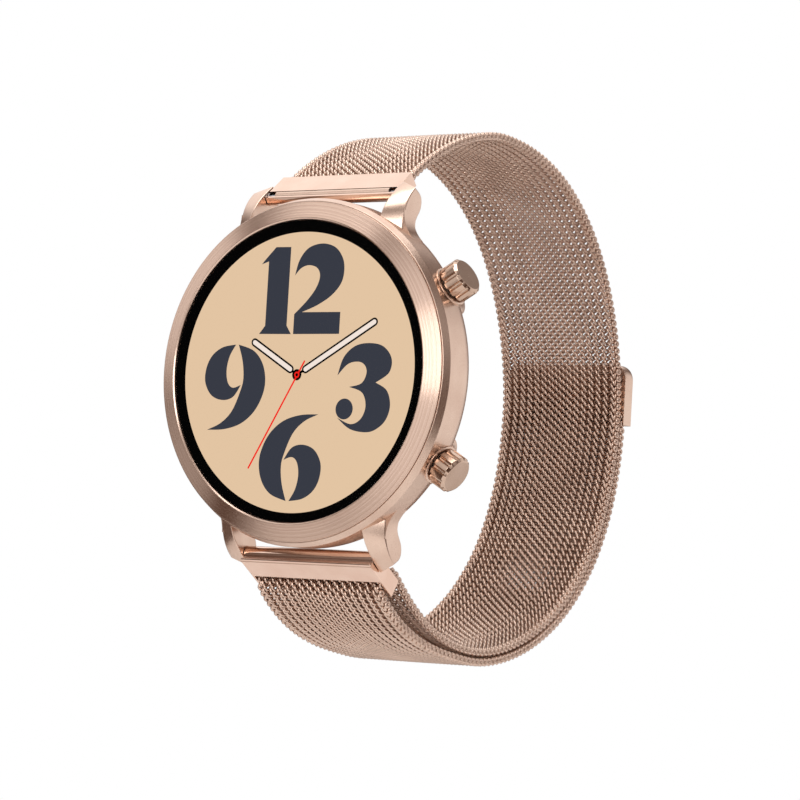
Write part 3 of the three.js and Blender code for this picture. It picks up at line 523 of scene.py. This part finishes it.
def capsule(start, end, half_width, steps=9):
    """A hand's outline: a straight bar between two points with round ends."""
    a, b = np.array(start, float), np.array(end, float)
    turn = math.degrees(math.atan2(*(b - a)[::-1]))
    return (arc(b, (half_width, half_width), turn - 90, turn + 90, steps)
            + arc(a, (half_width, half_width), turn + 90, turn + 270, steps))


def strokes(*runs):
    """An outline made of smooth curves that meet at corners. Each run is a list of points."""
    return np.concatenate([smooth_curve(run, 6)[:-1] for run in runs])


def make_dial():
    """The display's panel, its printed border and its picture: a tan face, four numerals and three
    hands, each layer at most a few hundredths of a millimetre in front of the one below."""
    panel = turned("display_panel_lit", [(0, 1.04), (18.7, 1.04), (18.7, 1.68), (0, 1.68)], 96, 0.02)
    dress(panel, OUTLINE, "case", "screen", "display_panel")
    border = turned("printed_border", [(18.45, 0.36), (19.1, 0.36), (19.1, 0.9), (18.45, 0.9)], 192, 0.02)
    dress(border, OUTLINE, "case", "screen")
    flat_piece("dial_face", arc((0.4, -0.15), (17.85, 17.85), 0, 360, 181)[:-1], FACE_DEPTH, DIAL)
    one = [(-6.14, 13.66), (-5.45, 14.4), (-4.0, 15.83), (-1.66, 15.8), (-1.66, 5.75), (-0.91, 4.66),
           (-5.94, 4.7), (-5.05, 5.75), (-5.05, 14.0)]
    flat_piece("numeral_one", one, NUMERAL_DEPTH, NUMERAL)
    two = strokes([(-0.8, 12.14), (-0.2, 14.15), (1.15, 15.65), (3.3, 16.15), (5.3, 15.6), (6.5, 14.2),
                   (6.8, 12.6), (6.4, 11.0), (5.0, 9.5), (2.9, 8.3), (0.6, 7.45)],
                  [(0.6, 7.45), (6.57, 7.43)], [(6.57, 7.43), (6.57, 4.66)], [(6.57, 4.66), (-0.57, 4.66)],
                  [(-0.57, 4.66), (-0.57, 7.2)],
                  [(-0.57, 7.2), (1.3, 8.9), (2.6, 10.5), (3.1, 12.0), (2.6, 13.05), (1.3, 13.42),
                   (0.1, 13.05), (-0.8, 12.14)])
    flat_piece("numeral_two", two, NUMERAL_DEPTH, NUMERAL)
    three = strokes([(6.71, -0.57), (7.5, 1.7), (9.1, 3.1), (11.2, 3.5), (13.4, 3.1), (14.75, 1.6),
                     (14.5, -0.2), (12.57, -1.43)],
                    [(12.57, -1.43), (14.3, -2.4), (14.93, -4.3), (14.3, -6.2), (12.7, -7.4), (11.0, -7.63),
                     (8.9, -7.2), (7.0, -5.86)],
                    [(7.0, -5.86), (9.1, -6.65), (10.6, -6.0), (11.25, -4.4), (10.6, -2.7), (8.57, -2.0)],
                    [(8.57, -2.0), (10.4, -1.55), (11.1, -0.3), (10.8, 0.7), (9.8, 1.16), (8.2, 0.85),
                     (6.71, -0.57)])
    flat_piece("numeral_three", three, NUMERAL_DEPTH, NUMERAL)
    ball = arc((8.03, -4.77), (1.31, 1.31), 0, 360, 49)[:-1]
    flat_piece("numeral_three_ball", ball, NUMERAL_DEPTH, NUMERAL)
    stem = strokes([(4.14, -5.49), (1.4, -5.6), (-1.2, -6.35), (-3.2, -7.9), (-4.4, -10.0), (-4.7, -12.0),
                    (-4.1, -14.1), (-2.6, -15.7), (-0.14, -16.5)],
                   [(-0.14, -16.5), (-0.9, -14.4), (-1.2, -12.3), (-0.9, -10.7), (0.3, -8.0), (2.0, -6.4),
                    (4.14, -5.49)])
    bowl = strokes([(-0.86, -11.3), (0.3, -9.75), (2.0, -9.34), (3.8, -9.95), (4.9, -11.6), (4.85, -13.5),
                    (4.0, -15.1), (2.4, -16.15), (0.29, -16.5)],
                   [(0.29, -16.5), (1.2, -15.0), (1.57, -13.2), (1.25, -11.6), (0.4, -10.94), (-0.86, -11.3)])
    # The nine is the six turned half round: twice the point between them, less the six.
    turn_centre = np.array([-9.2, -13.15])
    for name, outline in (("stem", stem), ("bowl", bowl)):
        flat_piece(f"numeral_six_{name}", outline, NUMERAL_DEPTH, NUMERAL)
        flat_piece(f"numeral_nine_{name}", turn_centre - outline, NUMERAL_DEPTH, NUMERAL)
    hub = (0.43, -0.51)
    for name, start, end in (("hour", (-0.66, 0.2), (-6.5, 3.62)), ("minute", (1.72, 0.2), (11.85, 6.15))):
        flat_piece(f"{name}_hand_edge", capsule(start, end, 0.54), 0.99, OUTLINE)
        flat_piece(f"{name}_hand_arm", capsule(hub, start, 0.17), 0.985, OUTLINE)
        flat_piece(f"{name}_hand", capsule(start, end, 0.3), 0.98, HAND)
    flat_piece("hub_edge", arc(hub, (0.72, 0.72), 0, 360, 41)[:-1], 0.975, OUTLINE)
    flat_piece("second_hand", capsule((1.5, 1.2), (-6.32, -12.44), 0.115), 0.97, SECOND)
    flat_piece("hub_ring", arc(hub, (0.4, 0.4), 0, 360, 41)[:-1], 0.965, SECOND)
    flat_piece("hub_dot", arc(hub, (0.2, 0.2), 0, 360, 25)[:-1], 0.96, OUTLINE)


# ---------------------------------------------------------------- strap
def strap_axes(side_z, tilt):
    """Maps (along, out) from a spring bar to (y, z): along leads away from the case, out is the way
    the frame's face looks."""
    origin = np.array([behind(BAR_DEPTH), side_z * BAR_REACH])
    along = np.array([math.cos(tilt), side_z * math.sin(tilt)])
    out = np.array([-math.sin(tilt), side_z * math.cos(tilt)])
    return lambda a, o: origin + np.multiply.outer(a, along) + np.multiply.outer(o, out)


UPPER = strap_axes(1, UPPER_TILT)
LOWER = strap_axes(-1, LOWER_TILT)
FOLD_REACH = 1.5
FOLD_RISE = 0.4
BAR_ALONG = 4.9
FRAME_MIDDLE = 0.5


def cubic(start, start_way, start_reach, end, end_way, end_reach, steps=400):
    """A cubic curve between two points whose handles lie along its end directions."""
    p = [np.array(start, float), np.array(start, float) + start_reach * np.array(start_way, float),
         np.array(end, float) - end_reach * np.array(end_way, float), np.array(end, float)]
    t = np.linspace(0, 1, steps)[:, None]
    return (1 - t) ** 3 * p[0] + 3 * (1 - t) ** 2 * t * p[1] + 3 * (1 - t) * t * t * p[2] + t ** 3 * p[3]


def tangents(line):
    """The unit direction of a line at each of its points."""
    way = np.gradient(line, axis=0)
    return way / np.linalg.norm(way, axis=1, keepdims=True)


def lengths(line):
    """The length along a line from its start to each of its points."""
    return np.concatenate([[0], np.cumsum(np.linalg.norm(np.diff(line, axis=0), axis=1))])


def inner_line():
    """The inner layer's middle line: level at the loop's top and bottom, upright at its far side."""
    top, far, bottom = ((behind(depth), z) for depth, z in (LOOP_TOP, LOOP_FAR, LOOP_BOTTOM))
    leave = (math.cos(UPPER_TILT), math.sin(UPPER_TILT))
    arrive = (-math.cos(LOWER_TILT), math.sin(LOWER_TILT))
    back = LOWER(BAR_ALONG, FRAME_MIDDLE - FOLD_REACH - FOLD_RISE)
    runs = [cubic(UPPER(3.85, -0.245), leave, 11.6, top, (1, 0), 3.0),
            cubic(top, (1, 0), 27.6, far, (0, -1), 9.4),
            cubic(far, (0, -1), 28.0, bottom, (-1, 0), 10.1),
            cubic(bottom, (-1, 0), 13.5, back, arrive, 2.0)]
    return np.concatenate([runs[0]] + [run[1:] for run in runs[1:]])


def strap_line():
    """The whole strap's middle line, evenly spaced 0.05 mm apart: the inner layer, the fold round the
    loop bar, and the outer layer, which spreads from the inner one near the fold. Also returns the
    length of the inner layer and of the line up to the outer layer."""
    inner = inner_line()
    so_far = lengths(inner)
    half_turn = np.linspace(0, np.pi, 61)
    lift = np.where(half_turn < np.pi / 2, -1, 1) * FOLD_RISE
    fold = np.array([LOWER(BAR_ALONG - FOLD_REACH * math.sin(t), FRAME_MIDDLE + up - FOLD_REACH * math.cos(t))
                     for t, up in zip(half_turn, lift)])
    way = tangents(inner)
    normal = np.stack([-way[:, 1], way[:, 0]], 1)
    from_fold = so_far[-1] - so_far
    t = np.minimum(1, from_fold / 20)
    together = MESH_THICKNESS + LAYER_GAP
    apart = together + (2 * (FOLD_REACH + FOLD_RISE) - together) * (1 - t * t * (3 - 2 * t))
    outer = (inner + apart[:, None] * normal)[::-1]
    reach = (from_fold[::-1] > 0.5) & (from_fold[::-1] < 78)
    line = np.concatenate([inner, fold[1:-1], outer[reach]])
    total = lengths(line)
    even = np.arange(0, total[-1], 0.05)
    line = np.stack([np.interp(even, total, line[:, i]) for i in range(2)], 1)
    return line, so_far[-1], lengths(fold)[-1]


LINE, INNER_LENGTH, FOLD_LENGTH = strap_line()
LINE_LENGTH = lengths(LINE)
LINE_WAY = tangents(LINE)
TAIL_HINGE = (21.88, -36.15)
CLASP_HINGE = (51.93, -19.2)
COIL_PITCH = 0.5
WIRE = 0.21


def woven(name, start, end):
    """Woven mesh between two lengths along the strap. Each wire is a flat coil whose axis runs across
    the strap: along = 0.42 cos t, out = 0.39 sin t, and it moves across about 1.2 mm in each turn.
    Each coil hooks through its neighbours half a turn out of step, and ends in a closed ring of one
    turn. Every second one reaches the strap's edge, and the others stop 0.35 mm short of it."""
    count = int(round((end - start) / COIL_PITCH))
    centre = start + (np.arange(count) + 0.5) * COIL_PITCH
    order = np.round(centre / COIL_PITCH).astype(int)[:, None]
    turns, per_turn, sides = 15.5, 8, 5
    t = np.linspace(0, 2 * np.pi * (turns + 2), int((turns + 2) * per_turn) + 1)
    half = np.where(order % 2, HALF_MESH - WIRE - 0.35, HALF_MESH - WIRE)
    share = np.clip((t / (2 * np.pi) - 1) / turns, 0, 1)
    across = half * (2 * share - 1)
    turn = t[None] + np.pi * (order % 2)
    ringed = np.where((share == 0) | (share == 1), 0.34, 0.42)
    along = centre[:, None] + ringed * np.cos(turn)
    out = (MESH_THICKNESS / 2 - WIRE) * np.sin(turn)
    point = [np.interp(along, LINE_LENGTH, LINE[:, i]) for i in range(2)]
    way = [np.interp(along, LINE_LENGTH, LINE_WAY[:, i]) for i in range(2)]
    path = np.stack([across, point[0] - out * way[1], point[1] + out * way[0]], 2)
    forward = np.gradient(path, axis=1)
    forward /= np.linalg.norm(forward, axis=2, keepdims=True)
    lean = np.cos(turn), np.sin(turn)
    spoke = np.stack([np.zeros_like(across), lean[0] * way[0] - lean[1] * way[1],
                      lean[0] * way[1] + lean[1] * way[0]], 2)
    spoke -= (spoke * forward).sum(2, keepdims=True) * forward
    spoke /= np.linalg.norm(spoke, axis=2, keepdims=True)
    side = np.cross(forward, spoke)
    round_wire = np.linspace(0, 2 * np.pi, sides, endpoint=False)
    size = np.full(len(t), WIRE)
    size[[0, -1]] = 0.0
    rim = np.cos(round_wire)[:, None] * spoke[:, :, None] + np.sin(round_wire)[:, None] * side[:, :, None]
    tube = path[:, :, None] + size[None, :, None, None] * rim
    one = grid_faces(len(t), sides, False, True)
    quads = (one[None] + (np.arange(count) * len(t) * sides)[:, None, None]).reshape(-1, 4)
    return mesh_object(name, tube, quads.tolist(), sharp=0)


def length_at(point):
    """The length along the strap's middle line nearest a point."""
    return LINE_LENGTH[np.argmin(np.linalg.norm(LINE - point, axis=1))]


def weave_strap():
    """The woven strap in five stretches. The flex line listed with each is not used: a stretch that runs from
    one body onto another keeps its place in the frame's axes, and the others ride on the band."""
    after_fold = INNER_LENGTH + FOLD_LENGTH
    tail_line, clasp_line = length_at(TAIL_HINGE), length_at(CLASP_HINGE)
    stretches = [
        ("woven_band_upper", 0.1, 60.1, "upper_link", "band", 0.1, 2.4, ("mesh_root", "mesh_inner_layer")),
        ("woven_band_far", 60.1, 120.1, None, "band", 0, 0, ("mesh_inner_layer",)),
        ("woven_band_lower", 120.1, after_fold + 12.1, None, "band", 0, 0,
         ("mesh_inner_layer", "mesh_fold")),
        ("woven_tail", after_fold + 12.1, after_fold + 42.1, "band", "tail", tail_line, tail_line + 8,
         ("mesh_fold", "mesh_tail")),
        ("woven_tail_end", after_fold + 42.1, LINE_LENGTH[-1] - 0.4, "tail", "clasp", clasp_line,
         clasp_line + 8, ("mesh_tail", "mesh_tail_end")),
    ]
    for name, start, end, before, after, bend_from, bend_to, stands_for in stretches:
        made = woven(name, start, end)
        made.data.materials.append(WIRE_STEEL)
        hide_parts(*stands_for)
        if before:
            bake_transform(made)
        else:
            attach(made, after)


def soften(name, material, width=0.06):
    """Dresses a frame node: its material, and a small round on its edges, or crisp edges for a width of nought.
    """
    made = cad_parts[name]
    made.data.materials.clear()
    made.data.materials.append(material)
    made.data.polygons.foreach_set("use_smooth", [True] * len(made.data.polygons))
    weld = made.modifiers.new("weld", "WELD")
    weld.merge_threshold = 1e-6
    if width:
        bevel = made.modifiers.new("edge_round", "BEVEL")
        bevel.width = width * MM
        bevel.segments = 2
        bevel.limit_method = "ANGLE"
        bevel.angle_limit = math.radians(35)
        made.modifiers.new("flat_flats", "WEIGHTED_NORMAL").weight = 100
    else:
        split = made.modifiers.new("crisp_edges", "EDGE_SPLIT")
        split.split_angle = math.radians(32)


# ---------------------------------------------------------------- the watch
place_camera()

dress(case_ring(), SATIN, "case", "case_metal", "mid_case")
for lug_name, lug_x in (("left", -1), ("right", 1)):
    for end_name, lug_z in (("upper", 1), ("lower", -1)):
        dress(lug(f"lug_{end_name}_{lug_name}", lug_x, lug_z), SATIN, "case", "case_metal")
        fillet = lug_fillet(f"lug_fillet_{end_name}_{lug_name}", lug_x, lug_z)
        dress(fillet, SATIN, "case", "case_metal")
bezel = turned("bezel_ring", [(GLASS_RADIUS + 0.1, 0.15), (GLASS_RADIUS + 0.3, 0.0), (BEZEL_RADIUS - 0.2, 0.74),
                              (BEZEL_RADIUS, BEZEL_DROP), (BEZEL_RADIUS, 0.9), (BEZEL_RADIUS - 0.25, 0.96),
                              (BEZEL_RADIUS - 0.25, 1.97), (18.8, 1.97), (18.8, 1.05),
                              (GLASS_RADIUS + 0.1, 1.05)], 288, 0.05)
dress(bezel, BRUSHED, "case", "case_metal", "bezel")
glass = turned("cover_glass_disc", [(0, GLASS_RECESS), (GLASS_RADIUS - 0.15, GLASS_RECESS),
                                    (GLASS_RADIUS, GLASS_RECESS + 0.15), (GLASS_RADIUS, GLASS_BACK),
                                    (0, GLASS_BACK)], 192, 0.03)
dress(glass, GLASS, "case", "cover_glass", "cover_glass")
make_dial()

for crown_name, crown_side in (("upper", 1), ("lower", -1)):
    dress(boss(f"{crown_name}_crown_boss", crown_side), SATIN, "case", "case_metal")
    dress(knob(f"{crown_name}_knob", crown_side), POLISHED_KNOB, f"{crown_name}_crown", "case_metal",
          f"{crown_name}_crown_knob")

weave_strap()
soften("upper_end_piece", POLISHED)
soften("lower_loop_frame", POLISHED)
soften("clasp_housing", SATIN, 0.12)
soften("clasp_cover", SATIN, 0.04)
soften("rear_cover", BLACK, 0)
soften("sensor_window", DARK_GLASS, 0)

# The finish of each remaining node. The sensor's light is lit, as the dial is.
PLAIN = {
    "glass_adhesive": RUBBER, "rear_gasket": RUBBER, "battery": FOIL, "chassis_plate": FOIL,
    "main_board": BOARD, "sensor_board": BOARD, "processor_shield": STEEL, "motor_cup": STEEL,
    "motor_cover": STEEL, "motor_weight": GOLD, "speaker": BLACK, "sensor_led": DIAL,
    "charging_contact_left": GOLD, "charging_contact_right": GOLD,
}
for part, count in (("rear_screw", 4), ("clasp_magnet", 3)):
    for number in range(1, count + 1):
        PLAIN[f"{part}_{number}"] = STEEL
for end_name in ("upper", "lower"):
    for part in ("crown_stem", "crown_clip", "crown_tube", "bar_spring", "bar_tip_left", "bar_tip_right"):
        PLAIN[f"{end_name}_{part}"] = STEEL
    PLAIN[f"{end_name}_bar_tube"] = SATIN
    PLAIN[f"{end_name}_crown_seal"] = RUBBER
    PLAIN[f"{end_name}_crown_plunger"] = BLACK
    PLAIN[f"{end_name}_crown_switch"] = BLACK
for part, finish in PLAIN.items():
    soften(part, finish, 0)


# ---------------------------------------------------------------- studio
# The way to each soft box, the cosines of the angles from it at which its light starts and is full,
# and its strength.
SOFT_BOXES = (
    ((0.08, -0.99, 0.07), 0.72, 0.93, 0.95),
    ((-0.5, -0.62, 0.6), 0.94, 0.985, 1.1),
    ((-0.92, -0.27, 0.28), 0.95, 0.985, 1.1),
    ((-0.94, -0.32, -0.15), 0.97, 0.99, 0.5),
    ((-0.56, -0.66, -0.49), 0.97, 0.995, 0.5),
    ((-0.45, 0.35, 0.82), 0.7, 0.9, 1.1),
    ((0.56, 0.82, 0.0), 0.7, 0.95, 0.85),
    ((0.8, -0.3, 0.5), 0.8, 0.95, 0.5),
    ((0.0, 0.0, -1.0), 0.5, 0.8, 0.7),
)


def studio_world():
    """A warm dim studio with soft boxes round the watch; straight to the camera it is plain white."""
    world = bpy.data.worlds.new("studio")
    bpy.context.scene.world = world
    world.use_nodes = True
    tree = world.node_tree
    background = tree.nodes["Background"]
    direction = node(tree, "ShaderNodeTexCoord").outputs["Generated"]
    dim_room = linear("#5E483D")
    light = None
    for towards, start, full, strength in SOFT_BOXES:
        dot = node(tree, "ShaderNodeVectorMath", {"operation": "DOT_PRODUCT"})
        tree.links.new(direction, dot.inputs[0])
        dot.inputs[1].default_value = Vector(towards).normalized()
        spread = {"interpolation_type": "SMOOTHSTEP", "From Min": start, "From Max": full, "To Max": strength}
        box = node(tree, "ShaderNodeMapRange", spread, Value=dot.outputs["Value"])
        if light is None:
            light = box.outputs["Result"]
        else:
            total = node(tree, "ShaderNodeMath", {"operation": "ADD"})
            tree.links.new(light, total.inputs[0])
            tree.links.new(box.outputs["Result"], total.inputs[1])
            light = total.outputs[0]
    boxes = node(tree, "ShaderNodeVectorMath", {"operation": "SCALE"}, Scale=light)
    boxes.inputs[0].default_value = linear("#FFFFFF")[:3]
    whole = node(tree, "ShaderNodeVectorMath", {"operation": "ADD"})
    tree.links.new(boxes.outputs[0], whole.inputs[0])
    whole.inputs[1].default_value = dim_room[:3]
    tree.links.new(whole.outputs[0], background.inputs["Color"])
    plain = node(tree, "ShaderNodeBackground", {"Color": (1, 1, 1, 1), "Strength": 1.0})
    seen = node(tree, "ShaderNodeLightPath").outputs["Is Camera Ray"]
    mix = tree.nodes.new("ShaderNodeMixShader")
    tree.links.new(seen, mix.inputs[0])
    tree.links.new(background.outputs[0], mix.inputs[1])
    tree.links.new(plain.outputs[0], mix.inputs[2])
    tree.links.new(mix.outputs[0], tree.nodes["World Output"].inputs["Surface"])


def floor():
    """A round pale floor well below the watch, finely speckled like paper."""
    angle = np.linspace(0, 2 * np.pi, 96, endpoint=False)
    points = np.stack([420 * np.cos(angle), 420 * np.sin(angle), np.full(96, -250.0)], 1)
    made = mesh_object("floor", points, [list(range(96))], smooth=False)
    material, tree, shader = new_material("pale_paper")
    place = node(tree, "ShaderNodeTexCoord").outputs["Object"]
    speck = node(tree, "ShaderNodeTexNoise", {"Scale": 900.0}, Vector=place)
    tint = node(tree, "ShaderNodeValToRGB", Fac=speck.outputs["Fac"])
    tint.color_ramp.elements[0].color = linear("#F4F2F0")
    tint.color_ramp.elements[1].color = linear("#FFFFFF")
    tree.links.new(tint.outputs["Color"], shader.inputs["Base Color"])
    shader.inputs["Roughness"].default_value = 1.0
    shader.inputs["Specular IOR Level"].default_value = 0.0
    made.data.materials.append(material)


bpy.context.scene.view_settings.view_transform = "Standard"
studio_world()
floor()
soft_light("front_fill", (0.28, -0.5, 0.12), (0, 0.03, 0), (0.3, 0.3), 0.9)
soft_light("overhead", (0.05, -0.1, 0.6), (0, 0.02, 0), (0.5, 0.4), 2.0)
